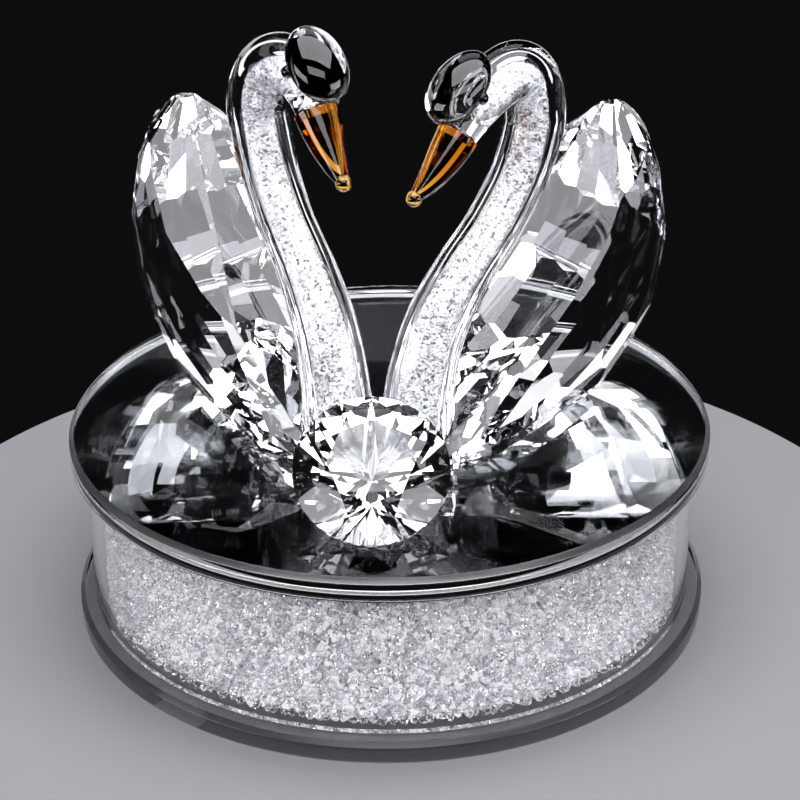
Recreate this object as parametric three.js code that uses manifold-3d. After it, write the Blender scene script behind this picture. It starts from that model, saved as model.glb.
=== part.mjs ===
// A pair of crystal swans facing each other behind a large round-brilliant glass gem, glued on a
// round mirror-backed plate over a clear drum filled with chips. Millimetres, +Z up, the origin at
// the centre of the underside. -Y is the front, where the gem lies.
import * as THREE from 'three';
import { mergeVertices } from 'three/addons/utils/BufferGeometryUtils.js';
import Module from 'manifold-3d';

const wasm = await Module();
wasm.setup();

// Base
const discRadius = 60;
const bottomDiscThickness = 4.6;
const topDiscThickness = 4.4;
const discBevel = 0.9;
const drumRadius = 57.1;
const drumHeight = 28;
const glueGap = 0.3;
const roundSides = 96;

// Gem
const gemDiameter = 27.2;
const gemTableShare = 0.56;
const gemCrownAngle = 34.5;
const gemPavilionAngle = 40.75;
const gemStarLength = 0.5;
const gemLowerHalfLength = 0.77;
const gemGirdleThickness = 0.9;
const gemGirdleSides = 48;
const gemInset = 20.2;
const gemShift = -3;

// Swans, each in a frame of its own: +Y runs from breast to tail, +Z up from the plate, and the
// foot of the neck stands at its origin. The two are blown and cut by hand and differ a little:
// the angles are in degrees, and the reach and rise of head and arch are shares of swanHeight.
const swans = [
  {
    name: 'left', side: -1, yaw: 28, neckTurn: 2,
    headReach: 0.07, headRise: 0.892, beakTurn: 51, archRise: 0.128,
  },
  {
    name: 'right', side: 1, yaw: -38, neckTurn: -11,
    headReach: 0.127, headRise: 0.824, beakTurn: 45, archRise: 0.196,
  },
];
const swanHeight = 74;
const neckForward = 18.5;
const neckSpread = 7;
const pairShift = -2;
const neckFootRadius = 6.5;
const neckSteps = 30;
const neckSides = 18;
const archSteps = 24;
const archLean = 0.01;
const headLength = 14.2;
const headWidth = 10.5;
const crownTilt = 49;
const eyeRadius = 1.15;
const beakLength = 13.5;
const beakRootWidth = 8.2;
const beakRidge = 2.7;
const beakJaw = 4.2;
const beakBallRadius = 1.45;
const beakSteps = 8;
const beakSides = 14;
const bodyLength = 72;
const bodyOutset = 2.5;
const bodyFacetRows = [0.12, 0.34, 0.52, 0.68, 0.82, 0.93];
const bodyFacetsRound = 20;
const capFacets = 7;

const degrees = Math.PI / 180;
const plateTop = bottomDiscThickness + drumHeight + topDiscThickness + 2 * glueGap;

// Finishes
const clearGlass = { color: 0xe9eef2, roughness: 0.02, metalness: 0 };
const plateGlass = { color: 0x9aa6aa, roughness: 0.02, metalness: 0.3 };
const chipFill = { color: 0xf4f4f6, roughness: 0.3, metalness: 0 };
const amberGlass = { color: 0xe08a12, roughness: 0.05, metalness: 0 };
const blackGlass = { color: 0x050505, roughness: 0.1, metalness: 0 };

function piece(name, geometry, finish) {
  const mesh = new THREE.Mesh(geometry, new THREE.MeshStandardMaterial(finish));
  mesh.name = name;
  return mesh;
}

// Closed geometry to solid and back, for the joins and cuts
function toSolid(geometry) {
  const bare = geometry.clone();
  bare.deleteAttribute('normal');
  bare.deleteAttribute('uv');
  const merged = mergeVertices(bare, 1e-5);
  const index = merged.index.array;
  const triangles = [];
  for (let i = 0; i < index.length; i += 3) {
    const [a, b, c] = [index[i], index[i + 1], index[i + 2]];
    if (a !== b && b !== c && c !== a) triangles.push(a, b, c);
  }
  return new wasm.Manifold(new wasm.Mesh({
    numProp: 3,
    vertProperties: new Float32Array(merged.attributes.position.array),
    triVerts: new Uint32Array(triangles),
  }));
}

function toGeometry(solid) {
  const mesh = solid.getMesh();
  const geometry = new THREE.BufferGeometry();
  geometry.setAttribute('position', new THREE.BufferAttribute(new Float32Array(mesh.vertProperties), 3));
  geometry.setIndex(new THREE.BufferAttribute(new Uint32Array(mesh.triVerts), 1));
  geometry.computeVertexNormals();
  return geometry;
}

// Skin over a row of rings with equal point counts, with a centre point closing each end
function loft(rings) {
  const sides = rings[0].length;
  const positions = rings.flat().flatMap((p) => [p.x, p.y, p.z]);
  const index = [];
  for (let ring = 0; ring < rings.length - 1; ring += 1) {
    for (let side = 0; side < sides; side += 1) {
      const a = ring * sides + side;
      const b = ring * sides + ((side + 1) % sides);
      index.push(a, b, b + sides, a, b + sides, a + sides);
    }
  }
  const capEnd = (ring, start, flip) => {
    const centre = new THREE.Vector3();
    ring.forEach((p) => centre.addScaledVector(p, 1 / sides));
    const hub = positions.length / 3;
    positions.push(centre.x, centre.y, centre.z);
    for (let side = 0; side < sides; side += 1) {
      const a = start + side;
      const b = start + ((side + 1) % sides);
      index.push(...(flip ? [hub, b, a] : [hub, a, b]));
    }
  };
  capEnd(rings[0], 0, true);
  capEnd(rings[rings.length - 1], (rings.length - 1) * sides, false);
  const geometry = new THREE.BufferGeometry();
  geometry.setAttribute('position', new THREE.Float32BufferAttribute(positions, 3));
  geometry.setIndex(index);
  geometry.computeVertexNormals();
  return geometry;
}

// A cut stone is what is left of a rough block once each facet plane has ground its side away
function cutStone(planes, block) {
  let stone = toSolid(new THREE.BoxGeometry(block, block, block));
  for (const { normal, constant } of planes) {
    stone = stone.trimByPlane(normal.clone().negate().toArray(), constant);
  }
  return stone;
}

const facetThrough = (normal, point) => new THREE.Plane()
  .setFromNormalAndCoplanarPoint(normal.clone().normalize(), point);

// Base: two bevelled discs with the sealed drum between them
function disc(name, bottom, thickness, finish) {
  const profile = [
    [0, 0], [discRadius - discBevel, 0], [discRadius, discBevel],
    [discRadius, thickness - discBevel], [discRadius - discBevel, thickness], [0, thickness],
  ].map(([x, y]) => new THREE.Vector2(x, y));
  const geometry = new THREE.LatheGeometry(profile, roundSides).rotateX(90 * degrees);
  const mesh = piece(name, geometry, finish);
  mesh.position.z = bottom;
  return mesh;
}

function drum(bottom) {
  const profile = [[0, 0], [drumRadius, 0], [drumRadius, drumHeight], [0, drumHeight]]
    .map(([x, y]) => new THREE.Vector2(x, y));
  const mesh = piece('drum', new THREE.LatheGeometry(profile, roundSides).rotateX(90 * degrees), chipFill);
  mesh.position.z = bottom;
  return mesh;
}

// Gem: a round brilliant, its table up and the top of its girdle at the origin
function brilliant() {
  const radius = gemDiameter / 2;
  const crownSlope = Math.tan(gemCrownAngle * degrees);
  const pavilionSlope = Math.tan(gemPavilionAngle * degrees);
  const halfStep = Math.cos(22.5 * degrees);
  const tableRadius = gemTableShare * radius;
  const tableHeight = (radius - tableRadius) * crownSlope;
  const starRadius = tableRadius * halfStep + gemStarLength * (radius - tableRadius * halfStep);
  const starHeight = (radius - starRadius * halfStep) * crownSlope;
  const lowerRadius = (1 - gemLowerHalfLength) * radius;
  const lowerDepth = -gemGirdleThickness - (radius - lowerRadius * halfStep) * pavilionSlope;
  const at = (distance, turn, height) => new THREE.Vector3(
    distance * Math.cos(turn * degrees), distance * Math.sin(turn * degrees), height);
  const inside = new THREE.Vector3(0, 0, -gemGirdleThickness);
  const facet = (a, b, c) => {
    const plane = new THREE.Plane().setFromCoplanarPoints(a, b, c);
    return plane.distanceToPoint(inside) > 0 ? plane.negate() : plane;
  };
  const planes = [facetThrough(new THREE.Vector3(0, 0, 1), at(0, 0, tableHeight))];
  for (let step = 0; step < 8; step += 1) {
    const turn = 45 * step;
    const next = turn + 22.5;
    planes.push(facetThrough(at(crownSlope, turn, 1), at(radius, turn, 0)));
    planes.push(facetThrough(at(pavilionSlope, turn, -1), at(radius, turn, -gemGirdleThickness)));
    planes.push(facet(at(tableRadius, turn, tableHeight), at(tableRadius, turn + 45, tableHeight),
      at(starRadius, next, starHeight)));
    for (const side of [turn, turn + 45]) {
      planes.push(facet(at(radius, side, 0), at(radius, next, 0), at(starRadius, next, starHeight)));
      planes.push(facet(at(radius, side, -gemGirdleThickness), at(radius, next, -gemGirdleThickness),
        at(lowerRadius, next, lowerDepth)));
    }
  }
  for (let side = 0; side < gemGirdleSides; side += 1) {
    const out = at(1, (side * 360) / gemGirdleSides, 0);
    planes.push(facetThrough(out, out.clone().multiplyScalar(radius)));
  }
  return toGeometry(cutStone(planes, 2 * gemDiameter));
}

function gem() {
  const lean = gemPavilionAngle * degrees;
  const mesh = piece('diamond', brilliant(), clearGlass);
  mesh.rotation.x = lean;
  const rest = (gemDiameter / 2) * Math.sin(lean) + gemGirdleThickness * Math.cos(lean);
  mesh.position.set(gemShift, gemInset - discRadius, plateTop + glueGap + rest);
  return mesh;
}

// Centre line of neck and head in the swan's own plane, from the foot to the root of the beak.
// The neck rises in an S to its rearmost point, and a long arch brings the head forward.
function neckLine(beakRoot, beakDown, archRise) {
  const stance = [[0, 0.11], [0.015, 0.22], [0.06, 0.345], [0.15, 0.46], [0.25, 0.555], [0.33, 0.66],
    [0.38, 0.785]].map(([y, z]) => new THREE.Vector3(0, y * swanHeight, z * swanHeight));
  const foot = new THREE.Vector3(0, 0, glueGap);
  const rear = stance[stance.length - 1];
  const archLift = new THREE.Vector3(0, archLean, archRise).multiplyScalar(swanHeight);
  const arch = new THREE.CubicBezierCurve3(rear, rear.clone().add(archLift),
    beakRoot.clone().addScaledVector(beakDown, -headLength), beakRoot);
  const points = [foot, ...stance, ...arch.getPoints(archSteps).slice(1)];
  return new THREE.CatmullRomCurve3(points, false, 'centripetal');
}

// Girth of the neck at equal steps along its line, as shares of the foot's radius
const neckGirth = new THREE.SplineCurve([1, 0.97, 0.88, 0.8, 0.81, 0.86, 0.8, 0.6]
  .map((size, step) => new THREE.Vector2(step, size)));

// An oval ring of points square to a line that lies in the swan's plane
function oval(centre, along, halfWidth, halfDepth, sides) {
  const across = new THREE.Vector3(1, 0, 0);
  const down = along.clone().cross(across);
  return Array.from({ length: sides }, (_, side) => {
    const turn = (side / sides) * 2 * Math.PI;
    return centre.clone().addScaledVector(across, halfWidth * Math.cos(turn))
      .addScaledVector(down, halfDepth * Math.sin(turn));
  });
}

function neckTube(line, extra) {
  const rings = [];
  for (let step = 0; step <= neckSteps; step += 1) {
    const share = step / neckSteps;
    const centre = line.getPointAt(share);
    const along = line.getTangentAt(share);
    if (step === 0) centre.addScaledVector(along, -extra);
    const radius = neckFootRadius * neckGirth.getPoint(share).y + extra;
    rings.push(oval(centre, along, radius, radius, neckSides));
  }
  return loft(rings);
}

// Head: the tube runs on to the root of the beak, and a full lobe of glass sits on its crown
function crown(beakRoot, beakDown) {
  const forward = new THREE.Vector3(0, beakDown.z, -beakDown.y);
  const lobe = new THREE.SphereGeometry(0.5, 24, 16).scale(headWidth, headLength * 0.7, headLength * 1.1);
  const centre = beakRoot.clone().addScaledVector(beakDown, -0.41 * headLength)
    .addScaledVector(forward, 0.31 * headLength);
  const solid = toSolid(lobe.rotateX(-crownTilt * degrees).translate(centre.x, centre.y, centre.z));
  return solid.trimByPlane(beakDown.clone().negate().toArray(), -beakRoot.dot(beakDown));
}

function beak(beakRoot, beakDown) {
  const forward = new THREE.Vector3(0, beakDown.z, -beakDown.y);
  const rings = [];
  for (let step = 0; step <= beakSteps; step += 1) {
    const share = step / beakSteps;
    const halfWidth = THREE.MathUtils.lerp(beakRootWidth / 2, beakBallRadius * 0.8, share ** 1.4);
    const ridge = THREE.MathUtils.lerp(beakRidge, beakBallRadius * 0.6, share);
    const jaw = THREE.MathUtils.lerp(beakJaw, beakBallRadius * 0.6, share ** 3);
    const centre = beakRoot.clone().addScaledVector(beakDown, glueGap + share * beakLength)
      .addScaledVector(forward, (ridge - jaw) / 2);
    rings.push(oval(centre, beakDown, halfWidth, (ridge + jaw) / 2, beakSides));
  }
  const tip = beakRoot.clone().addScaledVector(beakDown, glueGap + beakLength);
  const ball = new THREE.SphereGeometry(beakBallRadius, 12, 8).translate(tip.x, tip.y, tip.z);
  return toSolid(loft(rings)).add(toSolid(ball));
}

// Body: facets laid in staggered rows on a full, leaf-shaped form. Its belly and back follow one
// outline in the swan's plane, its throat and upper edge the other, and its girth swells between.
// The three lists hold the same stations from breast to tail, as shares of bodyLength.
function bodyForm() {
  const outline = (shares) => new THREE.SplineCurve(
    shares.map(([y, z]) => new THREE.Vector2(y * bodyLength, z * bodyLength)));
  const belly = outline([[-0.09, 0.03], [0, -0.01], [0.3, -0.035], [0.58, -0.015], [0.79, 0.075],
    [0.91, 0.25], [0.915, 0.47], [0.865, 0.66]]);
  const throat = outline([[-0.09, 0.05], [0.02, 0.18], [0.14, 0.32], [0.28, 0.48], [0.42, 0.61],
    [0.55, 0.685], [0.66, 0.715], [0.74, 0.725]]);
  const girth = outline([0.03, 0.115, 0.17, 0.2, 0.205, 0.18, 0.14, 0.09].map((size, step) => [step, size]));
  return (along, turn) => {
    const low = belly.getPoint(along);
    const high = throat.getPoint(along);
    const middle = low.clone().add(high).multiplyScalar(0.5)
      .addScaledVector(high.clone().sub(low), 0.5 * Math.cos(turn));
    return new THREE.Vector3(girth.getPoint(along).y * Math.sin(turn), middle.x, middle.y);
  };
}

function bodyPlanes(form, inside) {
  const planes = [];
  const small = 0.01;
  for (const [row, along] of bodyFacetRows.entries()) {
    for (let side = 0; side < bodyFacetsRound; side += 1) {
      const turn = ((side + (row % 2) / 2) / bodyFacetsRound) * 2 * Math.PI;
      const lengthwise = form(along + small, turn).sub(form(along - small, turn));
      const around = form(along, turn + small).sub(form(along, turn - small));
      const plane = facetThrough(lengthwise.cross(around), form(along, turn));
      planes.push(plane.distanceToPoint(inside) > 0 ? plane.negate() : plane);
    }
  }
  const tip = form(1, 0).add(form(1, Math.PI)).multiplyScalar(0.5);
  const capHeight = 0.035 * bodyLength;
  planes.push(facetThrough(new THREE.Vector3(0, 0.1, 1), tip.clone().setZ(tip.z + capHeight)));
  for (let side = 0; side < capFacets; side += 1) {
    const turn = ((side + 0.5) / capFacets) * 2 * Math.PI;
    const slope = new THREE.Vector3(Math.cos(turn), 0.1 + Math.sin(turn), 1.1).normalize();
    planes.push(facetThrough(slope, tip.clone().addScaledVector(slope, 1.25 * capHeight)));
  }
  planes.push(facetThrough(new THREE.Vector3(0, 0, -1), new THREE.Vector3(0, 0, glueGap)));
  return planes;
}

function swan({ name, side, yaw, neckTurn, headReach, headRise, beakTurn, archRise }) {
  const group = new THREE.Group();
  const neckGroup = new THREE.Group();
  group.position.set(pairShift + side * neckSpread, -neckForward, plateTop);
  group.rotation.z = yaw * degrees;
  neckGroup.rotation.z = neckTurn * degrees;
  group.add(neckGroup);
  group.updateMatrixWorld();

  const beakDown = new THREE.Vector3(0, -Math.cos(beakTurn * degrees), -Math.sin(beakTurn * degrees));
  const beakRoot = new THREE.Vector3(0, headReach * swanHeight, headRise * swanHeight);
  const line = neckLine(beakRoot, beakDown, archRise);
  const eyes = { outer: side, inner: -side };
  let neck = toSolid(neckTube(line, 0)).add(crown(beakRoot, beakDown));
  for (const [place, cheek] of Object.entries(eyes)) {
    const centre = beakRoot.clone().add(new THREE.Vector3(
      cheek * 0.44 * headWidth, 0.12 * headLength, 0.485 * headLength));
    const socket = new THREE.SphereGeometry(eyeRadius + glueGap, 10, 6);
    neck = neck.subtract(toSolid(socket.translate(centre.x, centre.y, centre.z)));
    const bead = piece(`${name}_swan_eye_${place}`, new THREE.SphereGeometry(eyeRadius, 10, 6), blackGlass);
    bead.position.copy(centre);
    neckGroup.add(bead);
  }

  // The bodies are ground flat where they would meet, and each is hollowed to take its neck
  const form = bodyForm();
  const inside = form(0.5, 0).add(form(0.5, Math.PI)).multiplyScalar(0.5);
  const outset = new THREE.Vector3(side * bodyOutset, 0, 0);
  const meeting = new THREE.Plane(new THREE.Vector3(-side, 0, 0), side * pairShift + glueGap / 2)
    .applyMatrix4(group.matrixWorld.clone().invert()).translate(outset.clone().negate());
  const stone = cutStone([...bodyPlanes(form, inside), meeting], 3 * bodyLength).translate(outset.toArray());
  const hollow = neckTube(line, glueGap).rotateZ(neckTurn * degrees);
  const body = stone.subtract(toSolid(hollow));

  group.add(piece(`${name}_swan_body`, toGeometry(body), clearGlass));
  neckGroup.add(piece(`${name}_swan_neck`, toGeometry(neck), clearGlass));
  neckGroup.add(piece(`${name}_swan_beak`, toGeometry(beak(beakRoot, beakDown)), amberGlass));
  return group;
}

const figurine = new THREE.Group();
figurine.add(disc('bottom_disc', 0, bottomDiscThickness, clearGlass));
figurine.add(drum(bottomDiscThickness + glueGap));
figurine.add(disc('top_disc', plateTop - topDiscThickness, topDiscThickness, plateGlass));
figurine.add(gem());
for (const bird of swans) figurine.add(swan(bird));

export default figurine;
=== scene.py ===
# %% [markdown]
# A pair of crystal swans on a round base filled with glass chips. The solids of the frame already
# hold the true sizes. This lesson gives them their looks: polished cut crystal, drawn clear glass
# with chips sealed inside, amber beaks, a mirror-backed plate and thousands of loose chips.
# First the frame is loaded.

# %% Load the frame
import math

import bmesh
import bpy
import numpy as np
from mathutils import Matrix, Vector


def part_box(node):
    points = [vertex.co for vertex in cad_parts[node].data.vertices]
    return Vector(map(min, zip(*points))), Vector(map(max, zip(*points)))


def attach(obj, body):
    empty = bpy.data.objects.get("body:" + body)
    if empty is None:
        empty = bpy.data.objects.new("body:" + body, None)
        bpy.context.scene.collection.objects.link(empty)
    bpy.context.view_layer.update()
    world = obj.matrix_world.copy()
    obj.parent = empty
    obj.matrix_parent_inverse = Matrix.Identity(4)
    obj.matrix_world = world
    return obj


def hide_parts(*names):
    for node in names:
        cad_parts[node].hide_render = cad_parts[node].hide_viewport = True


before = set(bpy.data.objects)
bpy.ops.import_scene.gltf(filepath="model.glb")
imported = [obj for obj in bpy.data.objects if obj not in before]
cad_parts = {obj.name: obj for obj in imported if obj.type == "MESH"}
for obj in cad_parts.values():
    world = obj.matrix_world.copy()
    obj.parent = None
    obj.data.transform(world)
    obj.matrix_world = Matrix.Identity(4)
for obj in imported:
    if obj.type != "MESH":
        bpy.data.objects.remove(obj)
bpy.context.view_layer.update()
mm = 0.001
rng = np.random.default_rng(20)
print("nodes:", sorted(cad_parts))

# %% [markdown]
# Every piece goes through one helper. It makes a mesh from points in millimetres, gives it smooth
# or flat shading, a material and a slot, lets it ride on the one body, and hides the solid it
# stands for. Whole arrays are handed over at once, because some pieces have a hundred thousand
# faces. Smooth glass still needs crisp edges, so an edge that turns more than an angle stays sharp.

# %% One helper for every piece
def plain_mesh(name, points, faces):
    mesh = bpy.data.meshes.new(name)
    mesh.from_pydata(np.asarray(points, float) * mm, [], faces)
    return mesh


def smooth_but_for_edges(mesh, sharp_angle):
    mesh.shade_smooth()
    mesh.set_sharp_from_angle(angle=math.radians(sharp_angle))


def add_piece(name, points, faces, material, replaces=(), smooth=True, sharp_angle=None):
    mesh = plain_mesh(name, points, faces)
    mesh.validate()
    if not smooth:
        mesh.shade_flat()
    elif sharp_angle is None:
        mesh.shade_smooth()
    else:
        smooth_but_for_edges(mesh, sharp_angle)
    piece = bpy.data.objects.new(name, mesh)
    bpy.context.scene.collection.objects.link(piece)
    mesh.materials.append(material)
    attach(piece, "root")
    if replaces:
        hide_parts(*replaces)
    print(f"{name}: {len(mesh.polygons)} faces")
    return piece


print("one unit of a piece's points is", mm, "m")

# %% [markdown]
# Round pieces are spun from a profile, and drawn glass is lofted through rings. A profile is a
# list of radius and height. If it starts and ends on the axis, the two ends become single points.
# If not, it is a closed loop, such as the section of a wall.

# %% Spinning and lofting
def turns_round(count):
    return np.arange(count) * 2 * math.pi / count


def spun(profile, segments):
    solid = profile[0][0] == 0
    rims = profile[1:-1] if solid else profile
    points = [(r * math.cos(a), r * math.sin(a), z) for r, z in rims for a in turns_round(segments)]
    faces = []
    rows = len(rims)
    for row in range(rows - 1 if solid else rows):
        low = row * segments
        high = ((row + 1) % rows) * segments
        for i in range(segments):
            j = (i + 1) % segments
            faces.append((low + i, low + j, high + j, high + i))
    if solid:
        bottom, top = len(points), len(points) + 1
        points += [(0, 0, profile[0][1]), (0, 0, profile[-1][1])]
        last = (rows - 1) * segments
        for i in range(segments):
            j = (i + 1) % segments
            faces += [(bottom, j, i), (top, last + i, last + j)]
    return points, faces


def lofted(rings):
    rings = np.asarray(rings, float)
    rows, sides = rings.shape[:2]
    faces = []
    for row in range(rows - 1):
        for i in range(sides):
            a, b = row * sides + i, row * sides + (i + 1) % sides
            faces.append((a, b, b + sides, a + sides))
    points = np.vstack([rings.reshape(-1, 3), rings[0].mean(0), rings[-1].mean(0)])
    first, last = rows * sides, (rows - 1) * sides
    for i in range(sides):
        j = (i + 1) % sides
        faces += [(first, j, i), (first + 1, last + i, last + j)]
    return points, faces


coin = [(0, 0), (1, 0), (1, 0.2), (0, 0.2)]
print("a coin spun in 8 steps has", len(spun(coin, 8)[1]), "faces")

# %% [markdown]
# Three effects are shared by several finishes, so each is a node group with inputs and outputs of
# its own. A finish then places the group and gives it its own values. The two helpers here make an
# empty group and put a node with its settings into a tree.

# %% Helpers for node groups
def new_group(name, inputs, outputs):
    group = bpy.data.node_groups.new(name, "ShaderNodeTree")
    for label, kind, value in inputs:
        socket = group.interface.new_socket(label, in_out="INPUT", socket_type=kind)
        socket.default_value = value
    for label, kind in outputs:
        group.interface.new_socket(label, in_out="OUTPUT", socket_type=kind)
    return group, group.nodes.new("NodeGroupInput"), group.nodes.new("NodeGroupOutput")


def add_node(tree, kind, **settings):
    node = tree.nodes.new(kind)
    for name, value in settings.items():
        if name in node.inputs:
            node.inputs[name].default_value = value
        else:
            setattr(node, name, value)
    return node


print("groups before the first effect:", len(bpy.data.node_groups))

# %% [markdown]
# Glass that is drawn in a flame is never quite even. Its surface has a slow waviness, which bends
# the reflections a little. That is far too shallow to model, so a noise goes into the normal.

# %% Waviness of drawn glass
def make_waviness():
    group, start, end = new_group(
        "flame drawn waviness",
        [("Wave size per metre", "NodeSocketFloat", 120.0), ("Depth", "NodeSocketFloat", 0.1)],
        [("Normal", "NodeSocketVector")],
    )
    place = add_node(group, "ShaderNodeNewGeometry")
    noise = add_node(group, "ShaderNodeTexNoise", Detail=1.0)
    bump = add_node(group, "ShaderNodeBump", Distance=0.001)
    group.links.new(place.outputs["Position"], noise.inputs["Vector"])
    group.links.new(start.outputs["Wave size per metre"], noise.inputs["Scale"])
    group.links.new(noise.outputs["Fac"], bump.inputs["Height"])
    group.links.new(start.outputs["Depth"], bump.inputs["Strength"])
    group.links.new(bump.outputs["Normal"], end.inputs["Normal"])
    return group


waviness = make_waviness()
print("made the group", waviness.name)

# %% [markdown]
# Handling leaves a faint haze on polished glass, in patches. It goes into the roughness, between a
# clean and a hazy value. The same group with high values gives the even grey of a ground bevel.

# %% Haze from handling
def make_haze():
    group, start, end = new_group(
        "handling haze",
        [("Clean", "NodeSocketFloat", 0.0), ("Hazy", "NodeSocketFloat", 0.04)],
        [("Roughness", "NodeSocketFloat")],
    )
    place = add_node(group, "ShaderNodeNewGeometry")
    noise = add_node(group, "ShaderNodeTexNoise", Scale=90.0, Detail=4.0)
    spread = add_node(group, "ShaderNodeMapRange")
    spread.inputs["From Min"].default_value = 0.45
    spread.inputs["From Max"].default_value = 0.75
    group.links.new(place.outputs["Position"], noise.inputs["Vector"])
    group.links.new(noise.outputs["Fac"], spread.inputs["Value"])
    group.links.new(start.outputs["Clean"], spread.inputs["To Min"])
    group.links.new(start.outputs["Hazy"], spread.inputs["To Max"])
    group.links.new(spread.outputs["Result"], end.inputs["Roughness"])
    return group


haze = make_haze()
print("made the group", haze.name)

# %% [markdown]
# In a filling, each chip is a little brighter or darker than its neighbours, because each lies at its own
# angle to the light. A cell pattern paints that light and shade into the colour: every cell gets one
# painted shade between a shaded dark and a lit bright, and a height that falls off to its rim.

# %% Painted light and shade of each chip
def make_chip_light_and_shade():
    group, start, end = new_group(
        "painted chip light and shade",
        [
            ("Chips per metre", "NodeSocketFloat", 600.0),
            # Dark is the painted shade of a chip turned away from the light, and Bright is the painted
            # light of a chip facing it.
            ("Dark", "NodeSocketColor", (0.3, 0.3, 0.33, 1)),
            ("Bright", "NodeSocketColor", (0.95, 0.95, 0.97, 1)),
        ],
        [("Color", "NodeSocketColor"), ("Height", "NodeSocketFloat")],
    )
    place = add_node(group, "ShaderNodeNewGeometry")
    cells = add_node(group, "ShaderNodeTexVoronoi")
    spread = add_node(group, "ShaderNodeMapRange")
    spread.inputs["From Min"].default_value = 0.05
    spread.inputs["From Max"].default_value = 0.45
    split = add_node(group, "ShaderNodeSeparateColor")
    mix = add_node(group, "ShaderNodeMix", data_type="RGBA")
    group.links.new(place.outputs["Position"], cells.inputs["Vector"])
    group.links.new(start.outputs["Chips per metre"], cells.inputs["Scale"])
    group.links.new(cells.outputs["Color"], split.inputs["Color"])
    group.links.new(split.outputs["Red"], spread.inputs["Value"])
    group.links.new(spread.outputs["Result"], mix.inputs["Factor"])
    group.links.new(start.outputs["Dark"], mix.inputs["A"])
    group.links.new(start.outputs["Bright"], mix.inputs["B"])
    group.links.new(mix.outputs["Result"], end.inputs["Color"])
    group.links.new(cells.outputs["Distance"], end.inputs["Height"])
    return group


chip_light_and_shade = make_chip_light_and_shade()
print("groups:", [g.name for g in bpy.data.node_groups])

# %% [markdown]
# Clear glass is a Principled shader with its transmission full on. The light that should reach
# the chips has to pass through it, and a path tracer finds such light only by chance. So for rays
# that look for a lamp, and only for them, a Mix Shader puts a Transparent shader in its place.
# Crystal bends light more than plain glass, so the bodies and the gem have a higher index. A ground
# bevel is the same glass as its plate, left rough by the wheel.

# %% Clear glasses
def clear_glass(name, tint, ior=1.52, wave=None, clean=0.0, hazy=0.03, shade=0.9):
    material = bpy.data.materials.new(name)
    material.use_nodes = True
    tree = material.node_tree
    glass = tree.nodes["Principled BSDF"]
    glass.inputs["Base Color"].default_value = (*tint, 1)
    glass.inputs["Metallic"].default_value = 0.0
    glass.inputs["IOR"].default_value = ior
    glass.inputs["Transmission Weight"].default_value = 1.0
    film = add_node(tree, "ShaderNodeGroup", node_tree=haze)
    film.inputs["Clean"].default_value = clean
    film.inputs["Hazy"].default_value = hazy
    tree.links.new(film.outputs["Roughness"], glass.inputs["Roughness"])
    if wave:
        ripple = add_node(tree, "ShaderNodeGroup", node_tree=waviness)
        ripple.inputs["Wave size per metre"].default_value = wave[0]
        ripple.inputs["Depth"].default_value = wave[1]
        tree.links.new(ripple.outputs["Normal"], glass.inputs["Normal"])
    passing = add_node(tree, "ShaderNodeBsdfTransparent")
    passing.inputs["Color"].default_value = (*(shade * c for c in tint), 1)
    rays = add_node(tree, "ShaderNodeLightPath")
    mix = add_node(tree, "ShaderNodeMixShader")
    tree.links.new(rays.outputs["Is Shadow Ray"], mix.inputs["Fac"])
    tree.links.new(glass.outputs["BSDF"], mix.inputs[1])
    tree.links.new(passing.outputs["BSDF"], mix.inputs[2])
    tree.links.new(mix.outputs["Shader"], tree.nodes["Material Output"].inputs["Surface"])
    return material


plate_tint = (0.975, 0.985, 0.985)
cut_crystal = clear_glass("cut crystal", (0.97, 0.97, 1.0), ior=1.56, hazy=0.012)
drawn_glass = clear_glass("drawn clear glass", (0.98, 0.99, 1.0), wave=(90.0, 0.06), hazy=0.015)
plate_glass = clear_glass("ground plate glass", plate_tint, hazy=0.01)
ground_glass = clear_glass("ground bevel glass", plate_tint, clean=0.3, hazy=0.4)
chip_glass = clear_glass("clear glass chips", (0.99, 0.99, 1.0), ior=1.5, hazy=0.02, shade=0.95)
gem_crystal = clear_glass("cut gem crystal", (0.98, 0.98, 1.0), ior=1.6, hazy=0.01)
print("clear glasses:", [m.name for m in bpy.data.materials])

# %% [markdown]
# The beaks are glass coloured right through, so a thick part looks darker than a thin tip. A tint
# on the surface can't do that. An absorbing volume inside the glass can, and it is added here.

# %% Amber glass
amber_glass = clear_glass("amber glass", (1.0, 0.78, 0.26), hazy=0.02)
amber_tree = amber_glass.node_tree
depth_colour = add_node(amber_tree, "ShaderNodeVolumeAbsorption", Density=450.0)
depth_colour.inputs["Color"].default_value = (0.76, 0.46, 0.01, 1)
amber_tree.links.new(depth_colour.outputs["Volume"], amber_tree.nodes["Material Output"].inputs["Volume"])
print("absorption per metre in the amber:", depth_colour.inputs["Density"].default_value)

# %% [markdown]
# The other finishes are solid ones: the pale mass of chips deeper in, the silvered backing of the
# plate, and the black bead eyes. The mass of chips only has to look like more chips behind the
# single ones, so a cell pattern is enough: it paints each chip's light and shade into the colour, and
# gives a height.

# %% Solid finishes
def packed_chips(name, per_metre, dark, bright):
    material = bpy.data.materials.new(name)
    material.use_nodes = True
    tree = material.node_tree
    shader = tree.nodes["Principled BSDF"]
    shader.inputs["Roughness"].default_value = 0.25
    cells = add_node(tree, "ShaderNodeGroup", node_tree=chip_light_and_shade)
    cells.inputs["Chips per metre"].default_value = per_metre
    cells.inputs["Dark"].default_value = (*dark, 1)
    cells.inputs["Bright"].default_value = (*bright, 1)
    bump = add_node(tree, "ShaderNodeBump", Strength=0.6, Distance=0.0006, invert=True)
    # The cell colour is painted light and shade: the dark colour for chips in shade, the bright one for
    # chips in light.
    tree.links.new(cells.outputs["Color"], shader.inputs["Base Color"])
    tree.links.new(cells.outputs["Height"], bump.inputs["Height"])
    tree.links.new(bump.outputs["Normal"], shader.inputs["Normal"])
    return material


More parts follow.
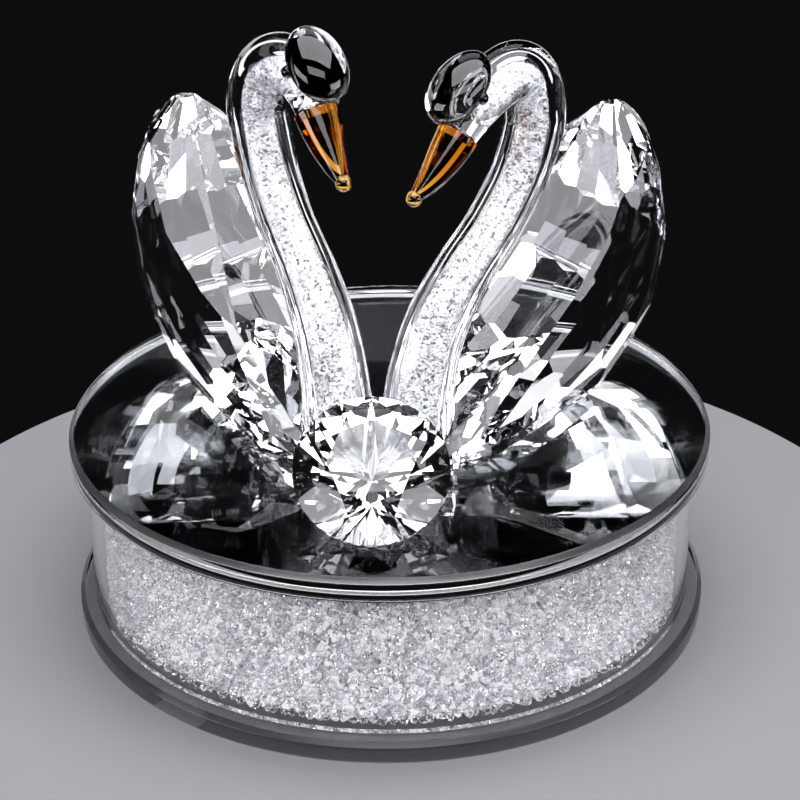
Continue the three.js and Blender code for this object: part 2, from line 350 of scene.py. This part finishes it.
def polished(name, colour, metallic, clean, hazy):
    material = bpy.data.materials.new(name)
    material.use_nodes = True
    tree = material.node_tree
    shader = tree.nodes["Principled BSDF"]
    shader.inputs["Base Color"].default_value = (*colour, 1)
    shader.inputs["Metallic"].default_value = metallic
    film = add_node(tree, "ShaderNodeGroup", node_tree=haze)
    film.inputs["Clean"].default_value = clean
    film.inputs["Hazy"].default_value = hazy
    tree.links.new(film.outputs["Roughness"], shader.inputs["Roughness"])
    return material


white = (1.0, 1.0, 1.0)
# Painted shade and painted light of the chips: dark specks of shade in the necks, a paler shade in the
# drum.
drum_mass = packed_chips("mass of chips in the drum", 620.0, dark=(0.55, 0.54, 0.57), bright=white)
neck_mass = packed_chips("mass of chips in the necks", 2600.0, dark=(0.12, 0.12, 0.13), bright=white)
mirror = polished("silvered backing", (0.82, 0.84, 0.85), metallic=1.0, clean=0.0, hazy=0.05)
bead_black = polished("black glass bead", (0.004, 0.004, 0.005), metallic=0.0, clean=0.03, hazy=0.1)
print("solid finishes:", [m.name for m in (drum_mass, neck_mass, mirror, bead_black)])

# %% [markdown]
# The base is a sandwich: a clear foot plate, a clear wall with chips inside, and a top plate with
# a mirror under it. The plates are spun with a small round on each edge, so that the rims catch
# lines of light. The bevels are ground, so the faces that lean outwards on top take the rough
# glass. All heights come from the boxes of the frame's own solids.

# %% Plates
foot_low, foot_high = (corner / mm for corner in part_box("bottom_disc"))
drum_low, drum_high = (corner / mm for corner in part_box("drum"))
top_low, top_high = (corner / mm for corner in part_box("top_disc"))
bevel = 0.9
bevel_under_top = 0.3
bevel_round = 0.12
round_steps = 4
segments = 256
least_lean, most_lean = 0.5, 0.9


def rounded_corner(corner, before, after):
    corner, before, after = (np.array(p, float) for p in (corner, before, after))
    a = corner + (before - corner) / np.linalg.norm(before - corner) * bevel_round
    b = corner + (after - corner) / np.linalg.norm(after - corner) * bevel_round
    shares = np.linspace(0, 1, round_steps)
    return [tuple((1 - t) ** 2 * a + 2 * t * (1 - t) * corner + t * t * b) for t in shares]


def plate_profile(radius, low, high, low_bevel):
    outline = [(0, low), (radius - low_bevel, low), (radius, low + low_bevel)]
    outline += [(radius, high - bevel), (radius - bevel, high), (0, high)]
    profile = [outline[0]]
    for before, corner, after in zip(outline, outline[1:], outline[2:]):
        profile += rounded_corner(corner, before, after)
    return profile + [outline[-1]]


def make_plate(name, low, high, node, low_bevel):
    points, faces = spun(plate_profile(high.x, low.z, high.z, low_bevel), segments)
    plate = add_piece(name, points, faces, plate_glass, (node,), sharp_angle=20)
    plate.data.materials.append(ground_glass)
    for face in plate.data.polygons:
        if least_lean < face.normal.z < most_lean:
            face.material_index = 1


make_plate("foot_plate", foot_low, foot_high, "bottom_disc", bevel)
make_plate("top_plate", top_low, top_high, "top_disc", bevel_under_top)

# %% [markdown]
# The wall of the drum is a ring cut from clear tube. The silvering is a thin disc in the gap of
# glue between the drum and the top plate, a little smaller than the plate, so that it touches
# neither of them.

# %% Drum wall and mirror
wall = 2.0
outer = drum_high.x
inner = outer - wall
wall_loop = [(outer, drum_low.z), (outer, drum_high.z), (inner, drum_high.z), (inner, drum_low.z)]
points, faces = spun(wall_loop, segments)
add_piece("drum_wall", points, faces, plate_glass, ("drum",), sharp_angle=30)

mirror_inset = 0.35
mirror_above_drum = 0.1
mirror_below_plate = 0.02
mirror_edge = top_high.x - mirror_inset
mirror_low = drum_high.z + mirror_above_drum
mirror_high = top_low.z - mirror_below_plate
backing = [(0, mirror_low), (mirror_edge, mirror_low), (mirror_edge, mirror_high), (0, mirror_high)]
points, faces = spun(backing, segments)
add_piece("mirror_backing", points, faces, mirror, sharp_angle=30)

# %% [markdown]
# The filling is loose chips of clear glass. A chip is an icosahedron with its corners pushed
# about, stretched and turned at random. Separate objects would be far too many, so the twelve
# corners and twenty faces are repeated in one array, and a whole layer becomes one piece.

# %% One chip, repeated
stretch_range = (0.75, 1.15)
corner_range = (0.86, 1.1)


def icosahedron():
    golden = (1 + math.sqrt(5)) / 2
    corners = []
    for a in (-1, 1):
        for b in (-golden, golden):
            corners += [(0, a, b), (a, b, 0), (b, 0, a)]
    corners = np.array(corners) / math.hypot(1, golden)
    edge = 2 / math.hypot(1, golden)
    near = np.linalg.norm(corners[:, None] - corners[None], axis=2) < 1.01 * edge
    faces = []
    for i in range(12):
        for j in range(i + 1, 12):
            for k in range(j + 1, 12):
                if near[i, j] and near[j, k] and near[i, k]:
                    turn = np.cross(corners[j] - corners[i], corners[k] - corners[i])
                    faces.append((i, j, k) if turn @ corners[i] > 0 else (i, k, j))
    return corners, np.array(faces)


def scatter(centres, sizes):
    count = len(centres)
    turns = rng.normal(size=(count, 4))
    turns /= np.linalg.norm(turns, axis=1, keepdims=True)
    w, x, y, z = turns.T
    spin = np.stack([
        1 - 2 * (y * y + z * z), 2 * (x * y - w * z), 2 * (x * z + w * y),
        2 * (x * y + w * z), 1 - 2 * (x * x + z * z), 2 * (y * z - w * x),
        2 * (x * z - w * y), 2 * (y * z + w * x), 1 - 2 * (x * x + y * y),
    ], axis=1).reshape(count, 3, 3)
    stretch = rng.uniform(*stretch_range, size=(count, 1, 3))
    lumps = chip_corners[None] * rng.uniform(*corner_range, size=(count, 12, 1)) * stretch
    points = np.einsum("nij,nkj->nki", spin, lumps) * sizes[:, None, None] + centres[:, None]
    faces = chip_faces[None] + 12 * np.arange(count)[:, None, None]
    return points.reshape(-1, 3), faces.reshape(-1, 3)


chip_corners, chip_faces = icosahedron()
print("a chip has", len(chip_corners), "corners and", len(chip_faces), "faces")

# %% [markdown]
# Only the chips near the wall can be told apart, so there are two layers of single ones. They lie
# in staggered rows, like packed balls, each pushed a little out of its place. The front layer is
# clear. The second one is opaque, so that the light goes no deeper.

# %% Chips behind the drum wall
chip_size = 0.95
chip_pitch = 1.62
row_pitch = 0.9 * chip_pitch
layer_depths = (1.15, 2.4)
layer_finishes = (chip_glass, drum_mass)
rows_gap = 1.2
end_gap = 1.1
least_end_gap = 1.05
turn_slack = 0.3
row_slack = 0.25
reach_range = (-0.25, 0.15)
size_range = (0.85, 1.05)


def drum_layer(radius):
    around = int(2 * math.pi * radius / chip_pitch)
    rows = int((drum_high.z - drum_low.z - rows_gap) / row_pitch)
    count = around * rows
    turn, height = np.meshgrid(np.arange(around), np.arange(rows))
    turn = (turn + 0.5 * (height % 2)).ravel() + rng.uniform(-turn_slack, turn_slack, count)
    height = height.ravel() + rng.uniform(-row_slack, row_slack, count)
    reach = radius + rng.uniform(*reach_range, count)
    angle = turn * 2 * math.pi / around
    level = drum_low.z + end_gap + height * (drum_high.z - drum_low.z - 2 * end_gap) / (rows - 1)
    level = np.clip(level, drum_low.z + least_end_gap, drum_high.z - least_end_gap)
    centres = np.stack([reach * np.cos(angle), reach * np.sin(angle), level], axis=1)
    return scatter(centres, rng.uniform(*size_range, count) * chip_size)


for layer, (depth, finish) in enumerate(zip(layer_depths, layer_finishes)):
    points, faces = drum_layer(inner - depth)
    add_piece(f"drum_chips_{layer + 1}", points, faces, finish, smooth=False)

# %% [markdown]
# Behind the two layers the drum is full of more chips, of which nobody sees more than a pale,
# uneven ground. One solid with a lumpy side stands for all of them, where single chips would take
# about a million faces more.

# %% The lumpy mass behind the chips
mass_depth = 3.4
mass_end_gap = 0.3
mass_around = 420
mass_rows = 36
mass_lump = 0.45


def lumpy_drum(radius, low, high):
    turn = turns_round(mass_around)
    rings = []
    for row in range(mass_rows):
        level = low + (high - low) * row / (mass_rows - 1)
        reach = radius + rng.uniform(-mass_lump, mass_lump, mass_around)
        flat = np.full(mass_around, level)
        rings.append(np.stack([reach * np.cos(turn), reach * np.sin(turn), flat], axis=1))
    return lofted(rings)


points, faces = lumpy_drum(inner - mass_depth, drum_low.z + mass_end_gap, drum_high.z - mass_end_gap)
add_piece("drum_filling", points, faces, drum_mass, smooth=False)

# %% [markdown]
# The solids of the necks have few sides, so the necks are made again here, finer, from the same
# measures. Lengths are in millimetres. What makes the pose, such as the points that a neck runs
# through, is a share of the swan's height, and the girths are shares of the radius at the foot.

# %% Measures of a swan
swan_height = 74.0
neck_forward = 18.5
neck_spread = 7.0
pair_shift = -2.0
neck_foot_radius = 6.5
head_length = 14.2
head_width = 10.5
beak_length = 13.5
glue = 0.3
arch_lean = 0.01
arch_points = 24
swans = {
    "left": {"side": -1, "turn": 30, "reach": 0.07, "rise": 0.892, "beak_turn": 51, "arch": 0.128},
    "right": {"side": 1, "turn": -49, "reach": 0.127, "rise": 0.824, "beak_turn": 45, "arch": 0.196},
}
stance = [
    (0, 0.11), (0.015, 0.22), (0.06, 0.345), (0.15, 0.46),
    (0.25, 0.555), (0.33, 0.66), (0.38, 0.785),
]
girth_shares = [1, 0.97, 0.88, 0.8, 0.81, 0.86, 0.8, 0.6]
print("swans:", ", ".join(f"{name} turned {bird['turn']} degrees" for name, bird in swans.items()))

# %% [markdown]
# A neck drawn by hand runs smoothly through the points it is led past, and so does this curve. It
# weighs each stretch by the root of its length, which keeps it from looping or overshooting where
# two points lie close. Points are then spread evenly along it.

# %% A smooth curve through points
def curve_through(points, per_span):
    points = np.asarray(points, float)
    knots = np.vstack([2 * points[0] - points[1], points, 2 * points[-1] - points[-2]])
    out = []
    for p0, p1, p2, p3 in zip(knots, knots[1:], knots[2:], knots[3:]):
        spans = ((p0, p1), (p1, p2), (p2, p3))
        d0, d1, d2 = (max(np.linalg.norm(b - a), 1e-9) ** 0.5 for a, b in spans)
        m1 = ((p1 - p0) / d0 - (p2 - p0) / (d0 + d1) + (p2 - p1) / d1) * d1
        m2 = ((p2 - p1) / d1 - (p3 - p1) / (d1 + d2) + (p3 - p2) / d2) * d1
        for t in np.arange(per_span) / per_span:
            out.append((2 * t**3 - 3 * t**2 + 1) * p1 + (t**3 - 2 * t**2 + t) * m1
                       + (3 * t**2 - 2 * t**3) * p2 + (t**3 - t**2) * m2)
    return np.array(out + [points[-1]])


def step_lengths(line):
    return np.linalg.norm(np.diff(line, axis=0), axis=1)


def evenly(line, count):
    along = np.concatenate([[0], np.cumsum(step_lengths(line))])
    wanted = np.linspace(0, along[-1], count)
    return np.stack([np.interp(wanted, along, line[:, k]) for k in range(line.shape[1])], axis=1)


print("a curve through 3 points has", len(curve_through([(0, 0), (1, 1), (2, 0)], 12)), "points")

# %% [markdown]
# Each neck follows one line in the swan's own plane: an S from the foot to the rearmost point, then
# a long arch down to the root of the beak. The arch is one cubic curve that leaves the rearmost
# point upwards and comes down along the beak.

# %% The line and the girth of a neck
def neck_line(bird, count=240):
    beak_turn = math.radians(bird["beak_turn"])
    down = np.array([-math.cos(beak_turn), -math.sin(beak_turn)])
    root = np.array([bird["reach"], bird["rise"]]) * swan_height
    rear = np.array(stance[-1]) * swan_height
    lift = rear + np.array([arch_lean, bird["arch"]]) * swan_height
    back = root - down * head_length
    t = np.linspace(0, 1, arch_points + 1)[1:, None]
    arch = (1 - t)**3 * rear + 3 * t * (1 - t)**2 * lift + 3 * t * t * (1 - t) * back + t**3 * root
    points = np.vstack([[0, glue], np.array(stance) * swan_height, arch])
    return evenly(curve_through(points, per_span=12), count), root, down


def girth_at(share):
    values = curve_through(list(enumerate(girth_shares)), per_span=24)
    return np.interp(share * (len(girth_shares) - 1), values[:, 0], values[:, 1]) * neck_foot_radius


for name, bird in swans.items():
    print(f"{name} neck line:", round(step_lengths(neck_line(bird)[0]).sum()), "mm")

# %% [markdown]
# A swan is worked out flat, in its own plane, and then turned and set down on the plate. Rings
# square to the line make the tube of the neck, and the same rings make its bore later on. The neck
# and its head lobe are melted together on the real piece. The Boolean modifier joins the two into
# one body, because a surface left inside clear glass would show.

# %% Placing a swan, rings along a line, and joining two bodies
def placed(bird, points):
    points = np.asarray(points, float).reshape(-1, 3)
    turn = math.radians(bird["turn"])
    c, s = math.cos(turn), math.sin(turn)
    spin = np.array([[c, -s, 0], [s, c, 0], [0, 0, 1]])
    foot = np.array([pair_shift + bird["side"] * neck_spread, -neck_forward, top_high.z])
    return points @ spin.T + foot


def normals_along(line):
    along = np.gradient(line, axis=0)
    along /= np.linalg.norm(along, axis=1, keepdims=True)
    return np.stack([along[:, 1], -along[:, 0]], axis=1)


def tube_rings(line, radii, sides):
    turn = turns_round(sides)
    rings = []
    for centre, n, r in zip(line, normals_along(line), radii):
        off = r * np.sin(turn)
        ring = [r * np.cos(turn), centre[0] + off * n[0], centre[1] + off * n[1]]
        rings.append(np.stack(ring, axis=1))
    return np.array(rings)


def join_bodies(piece, other):
    tool = bpy.data.objects.new("joining body", other)
    bpy.context.scene.collection.objects.link(tool)
    union = piece.modifiers.new("join", "BOOLEAN")
    union.operation = "UNION"
    union.solver = "EXACT"
    union.object = tool
    done = bpy.data.meshes.new_from_object(piece.evaluated_get(bpy.context.evaluated_depsgraph_get()))
    piece.modifiers.clear()
    bpy.data.objects.remove(tool)
    piece.data = done
    print(piece.name, "joined:", len(done.polygons), "faces")


for name, bird in swans.items():
    print(f"{name} swan stands at", [round(v, 1) for v in placed(bird, (0, 0, 0))[0]], "mm")

# %% [markdown]
# The head is a full, egg-shaped lobe of glass on the crown, tilted over the brow. It is an
# ellipsoid placed from the root of the beak, with every size a share of the head's own length, so
# it stays on the neck when the head grows. It is kept slim enough for the eye beads to stand clear.

# %% A drawn neck with its head
lobe_tilt = math.radians(-49)
lobe_behind_root = 0.41 * head_length
lobe_over_line = 0.31 * head_length
lobe_lift = 0.056 * head_length
lobe_half_width = 0.5 * head_width
lobe_half_depth = 0.28 * head_length
lobe_half_length = 0.52 * head_length
neck_sides = 64


def square_to(down):
    return np.array([down[1], -down[0]])


def lobe(root, down, sides=96, rows=64):
    c, s = math.cos(lobe_tilt), math.sin(lobe_tilt)
    under = np.array([c, s])
    centre = root - lobe_behind_root * down + lobe_over_line * square_to(down) - lobe_lift * under
    turn = turns_round(sides)
    rings = []
    for row in range(1, rows):
        polar = math.pi * row / rows
        x = lobe_half_width * math.sin(polar) * np.cos(turn)
        y = lobe_half_depth * math.sin(polar) * np.sin(turn)
        z = np.full(sides, -lobe_half_length * math.cos(polar))
        rings.append(np.stack([x, centre[0] + y * c - z * s, centre[1] + y * s + z * c], axis=1))
    return lofted(rings)


def drawn_neck(name, bird, line, radii, root, down):
    points, faces = lofted(tube_rings(line, radii, neck_sides))
    neck = add_piece(
        f"{name}_neck_and_head", placed(bird, points), faces, drawn_glass,
        (f"{name}_swan_neck",), sharp_angle=40)
    points, faces = lobe(root, down)
    join_bodies(neck, plain_mesh("crown", placed(bird, points), faces))
    return neck


print("head lobe:", round(2 * lobe_half_width, 1), "mm wide and", round(2 * lobe_half_length, 1), "long")

# %% [markdown]
# The neck is a sealed tube, so it has a bore, which is air. Its inner skin is one more tube with
# its faces turned round, put into the same mesh, so that light leaves the glass there. What lies
# in the bore is seen at its true width, with the clear wall as a dark outline round it. So the
# bore's girth is given at a few stations as a share of the neck's own, and that alone sets how
# wide the outline is. Under the head the bore moves sideways in the tube.

# %% The sealed bore
bore_sides = 40
bore_starts_at = 3
bore_ends_at = 0.965
bore_end_taper = 0.04
bore_end_least = 0.05
bore_stations = [0, 0.3, 0.5, 0.65, 0.8, 1]
bore_girths = [0.64, 0.64, 0.62, 0.58, 0.55, 0.5]
bore_shifts = [0, 0, 0, 0, 0.08, 0.36]


def bore_of(line, radii):
    shares = np.linspace(0, 1, len(line))
    inside = np.flatnonzero(shares <= bore_ends_at)[bore_starts_at:]
    along = shares[inside] / bore_ends_at
    taper = np.clip(np.minimum(along, 1 - along) / bore_end_taper, bore_end_least, 1) ** 0.5
    bore_radii = np.interp(along, bore_stations, bore_girths) * radii[inside] * taper
    inward = np.interp(along, bore_stations, bore_shifts) * radii[inside]
    normals = normals_along(line)[inside]
    return line[inside] - normals * inward[:, None], normals, bore_radii


def open_bore(neck, bird, bore_line, bore_radii):
    points, faces = lofted(tube_rings(bore_line, bore_radii, bore_sides))
    bore = plain_mesh("bore", placed(bird, points), [tuple(reversed(face)) for face in faces])
    both = bmesh.new()
    both.from_mesh(neck.data)
    both.from_mesh(bore)
    both.to_mesh(neck.data)
    both.free()
    smooth_but_for_edges(neck.data, 35)


print("bore at the foot:", round(bore_girths[0] * neck_foot_radius, 2), "mm in radius")

# %% [markdown]
# The bore is packed with fine chips. As in the drum, a lumpy core stands for those in the middle,
# with single chips round it: a full layer of clear ones against the glass, and half as many
# opaque ones a little deeper, between them.

# %% The core and the chips in a bore
neck_chip = 0.33
neck_chip_pitch = 1.45 * neck_chip
chip_room = 1.35 * neck_chip
core_gap = 0.1
core_lump = 0.12
least_core = 0.03
least_reach = 0.05
neck_reach_slack = 0.15
neck_size_range = (0.75, 1.15)
neck_layers = (
    {"finish": chip_glass, "depth": 0.0, "part": 1.0},
    {"finish": neck_mass, "depth": 0.25, "part": 0.5},
)


def fill_bore(name, bird, bore_line, chip_reach):
    rings = tube_rings(bore_line, np.maximum(chip_reach - core_gap, least_core), bore_sides)
    middle = rings.mean(axis=1, keepdims=True)
    lumps = rng.uniform(-core_lump, core_lump, rings.shape[:2])
    points, faces = lofted(middle + (rings - middle) * (1 + lumps[..., None]))
    add_piece(
        f"{name}_neck_filling", placed(bird, points), faces, neck_mass,
        smooth=False)


def neck_layer(bird, bore_line, normals, chip_reach, depth, part):
    whole = step_lengths(bore_line).sum() * 2 * math.pi * chip_reach.mean() / neck_chip_pitch**2
    count = int(whole * part)
    where = rng.uniform(0, len(bore_line) - 1.001, count)
    low = where.astype(int)
    past = (where - low)[:, None]
    centre = bore_line[low] * (1 - past) + bore_line[low + 1] * past
    turn = rng.uniform(0, 2 * math.pi, count)
    slack = rng.uniform(0, neck_reach_slack, count)
    reach = np.maximum(chip_reach[low] - depth - slack, least_reach)
    off = normals[low] * (reach * np.sin(turn))[:, None]
    across = reach * np.cos(turn)
    centres = np.stack([across, centre[:, 0] + off[:, 0], centre[:, 1] + off[:, 1]], axis=1)
    return scatter(placed(bird, centres), rng.uniform(*neck_size_range, count) * neck_chip)


print("a chip in a neck is about", round(2 * neck_chip, 2), "mm across")

# %% [markdown]
# With each step a function, both necks are made in one loop. Each swan is finished before the next
# is begun, so the random draws always come in the same order, and every run gives the same chips.

# %% Both necks
for name, bird in swans.items():
    line, root, down = neck_line(bird)
    radii = girth_at(np.linspace(0, 1, len(line)))
    neck = drawn_neck(name, bird, line, radii, root, down)
    bore_line, normals, bore_radii = bore_of(line, radii)
    open_bore(neck, bird, bore_line, bore_radii)
    chip_reach = np.maximum(bore_radii - chip_room, least_reach)
    fill_bore(name, bird, bore_line, chip_reach)
    for layer, kind in enumerate(neck_layers):
        points, faces = neck_layer(bird, bore_line, normals, chip_reach, kind["depth"], kind["part"])
        add_piece(
            f"{name}_neck_chips_{layer + 1}", points, faces, kind["finish"],
            smooth=False)

# %% [markdown]
# The beak is a short, slightly hooked spoon of amber glass that ends in a bead. It is lofted like
# the neck, with a low ridge above and a fuller jaw below, and joined with its bead. It narrows
# slowly at first and faster near the tip, which a power of the distance from its root gives.

# %% Beaks
beak_root_width = 8.2
beak_ridge = 2.7
beak_jaw = 4.2
beak_ball = 1.45
tip_half_width = 0.8 * beak_ball
tip_half_depth = 0.6 * beak_ball
width_power = 1.4
jaw_power = 3
beak_rings = 48
beak_sides = 48


def ball(centre, radius, sides=48, rows=32):
    turn = turns_round(sides)
    rings = []
    for row in range(1, rows):
        polar = math.pi * row / rows
        x, y = np.sin(polar) * np.cos(turn), np.sin(polar) * np.sin(turn)
        ring = np.stack([x, y, np.full(sides, -math.cos(polar))], axis=1)
        rings.append(np.asarray(centre) + radius * ring)
    return lofted(rings)


def make_beak(name, bird):
    _, root, down = neck_line(bird)
    forward = square_to(down)
    share = np.linspace(0, 1, beak_rings)
    half_width = beak_root_width / 2 + (tip_half_width - beak_root_width / 2) * share**width_power
    ridge = beak_ridge + (tip_half_depth - beak_ridge) * share
    jaw = beak_jaw + (tip_half_depth - beak_jaw) * share**jaw_power
    line = root + np.outer(glue + share * beak_length, down) + np.outer((ridge - jaw) / 2, forward)
    turn = turns_round(beak_sides)
    rings = []
    for centre, wide, deep in zip(line, half_width, (ridge + jaw) / 2):
        off = np.outer(deep * np.sin(turn), forward)
        ring = [wide * np.cos(turn), centre[0] + off[:, 0], centre[1] + off[:, 1]]
        rings.append(np.stack(ring, axis=1))
    points, faces = lofted(rings)
    beak = add_piece(
        f"{name}_beak", placed(bird, points), faces, amber_glass,
        (f"{name}_swan_beak",), sharp_angle=40)
    tip = root + down * (glue + beak_length)
    points, faces = ball((0, tip[0], tip[1]), beak_ball)
    join_bodies(beak, plain_mesh("bead", placed(bird, points), faces))
    smooth_but_for_edges(beak.data, 50)


print("beak:", beak_length, "mm long and", beak_root_width, "mm wide at its root")

# %% [markdown]
# The eyes are small beads of black glass, pressed into the sides of the head while it is hot. Each
# is a plain ball. Their places are shares of the head's width and length, from the beak's root.

# %% Eyes, and both faces
eye_radius = 1.15
eye_aside = 0.44
eye_behind_root = 0.12
eye_above_root = 0.485


def make_eyes(name, bird):
    _, root, _ = neck_line(bird)
    for place, cheek in (("outer", bird["side"]), ("inner", -bird["side"])):
        centre = (
            cheek * eye_aside * head_width,
            root[0] + eye_behind_root * head_length,
            root[1] + eye_above_root * head_length,
        )
        points, faces = ball(centre, eye_radius)
        add_piece(
            f"{name}_eye_{place}", placed(bird, points), faces, bead_black,
            (f"{name}_swan_eye_{place}",))


for name, bird in swans.items():
    make_beak(name, bird)
    make_eyes(name, bird)

# %% [markdown]
# The bodies and the gem are cut stones. Their facets are exact in the frame, so the solids stay,
# and only take the crystal. The gem has a crystal of its own with a higher index, because a stone
# of this cut returns more light to the eye the more strongly it bends it.

# %% Bodies and gem
stones = {"left_swan_body": cut_crystal, "right_swan_body": cut_crystal, "diamond": gem_crystal}
for node, crystal in stones.items():
    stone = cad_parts[node]
    stone.data.materials.clear()
    stone.data.materials.append(crystal)
    print(node, "takes", crystal.name)

# %% [markdown]
# The piece stands on a small, plain pale table in a dark room. Dark surroundings matter, because
# clear crystal shows what is round it, and the black gaps between its facets are the room itself.

# %% Table and room
table_radius = 105.0
table_thickness = 6.0
table_edge = 0.6
table_segments = 200
table_profile = [
    (0, -table_thickness), (table_radius, -table_thickness), (table_radius, -table_edge),
    (table_radius - table_edge, 0.0), (0, 0.0),
]
table_mesh = plain_mesh("pale_table", *spun(table_profile, table_segments))
table = bpy.data.objects.new("pale_table", table_mesh)
bpy.context.scene.collection.objects.link(table)
table_finish = bpy.data.materials.new("pale table")
table_finish.use_nodes = True
table_shader = table_finish.node_tree.nodes["Principled BSDF"]
table_shader.inputs["Base Color"].default_value = (0.24, 0.24, 0.25, 1)
table_shader.inputs["Roughness"].default_value = 0.6
table_mesh.materials.append(table_finish)

world = bpy.data.worlds.new("dark room")
world.use_nodes = True
background = world.node_tree.nodes["Background"]
background.inputs["Color"].default_value = (0.5, 0.52, 0.55, 1)
background.inputs["Strength"].default_value = 0.008
bpy.context.scene.world = world
print("table:", 2 * table_radius, "mm across")

# %% [markdown]
# A facet looks bright only when it mirrors or bends a light into view, so a few lights with clear
# bounds suit it better than an even glow. The wide box above gives the large facets their lavender
# grey. A low box on each side lights the chips in the drum. One high in front lights the gem.
# Behind stand a faint box, and a narrow strip that draws the bright outlines of necks and rims.

# %% Lights
lilac = (0.96, 0.95, 1.0)
over_base = (0, 0, 0.06)
at_bodies = (0, 0, 0.07)


def soft_light(name, place, aim, size, watts, colour):
    data = bpy.data.lights.new(name, "AREA")
    data.shape = "RECTANGLE"
    data.size, data.size_y = size
    data.energy = watts
    data.color = colour
    lamp = bpy.data.objects.new(name, data)
    lamp.location = place
    lamp.rotation_euler = (Vector(aim) - Vector(place)).to_track_quat("-Z", "Y").to_euler()
    bpy.context.scene.collection.objects.link(lamp)
    print(name, watts, "W")


soft_light("top box", (0.06, -0.03, 0.56), (0.06, -0.03, 0.06), (0.72, 0.42), 5.0, lilac)
soft_light("back top box", (0.0, 0.31, 0.48), at_bodies, (0.36, 0.22), 0.32, lilac)
soft_light("left box", (-0.46, -0.26, 0.15), at_bodies, (0.4, 0.18), 1.3, lilac)
soft_light("right box", (0.46, -0.26, 0.15), at_bodies, (0.4, 0.18), 1.3, lilac)
soft_light("front top", (0.0, -0.5, 0.53), over_base, (0.6, 0.2), 1.5, white)
soft_light("back strip", (0.0, 0.55, 0.1), over_base, (0.9, 0.1), 0.36, white)

# %% [markdown]
# The camera stands where the photograph was taken from: about 27 degrees above the table and
# 446 mm from the middle of the piece, with a long lens. Its place, tilt and lens were fitted to the
# outlines of the base. Light has to cross many sheets of glass, so the paths may be long.

# %% Camera
target = Vector((2.017, 0.0, 40.611)) * mm
distance = 445.93 * mm
elevation = math.radians(26.955)
roll = math.radians(-0.513)
focal_pixels = 2376.2
photo_width = 800
sideways = Vector((1, 0, 0))
looking = Vector((0, math.cos(elevation), -math.sin(elevation)))
level_up = Vector((0, math.sin(elevation), math.cos(elevation)))
right = sideways * math.cos(roll) + level_up * math.sin(roll)
up = level_up * math.cos(roll) - sideways * math.sin(roll)
turn = Matrix((right, up, -looking)).transposed().to_4x4()

scene = bpy.context.scene
camera_data = bpy.data.cameras.new("camera")
camera_data.sensor_width = 36.0
camera_data.lens = focal_pixels / photo_width * camera_data.sensor_width
camera_data.clip_start = 0.01
camera = bpy.data.objects.new("camera", camera_data)
scene.collection.objects.link(camera)
camera.matrix_world = Matrix.Translation(target - looking * distance) @ turn
bpy.context.scene.camera = camera

scene.view_settings.view_transform = "Standard"
scene.cycles.max_bounces = 18
scene.cycles.transmission_bounces = 14
scene.cycles.glossy_bounces = 10
scene.cycles.transparent_max_bounces = 24
print("lens", round(camera_data.lens, 1), "mm")
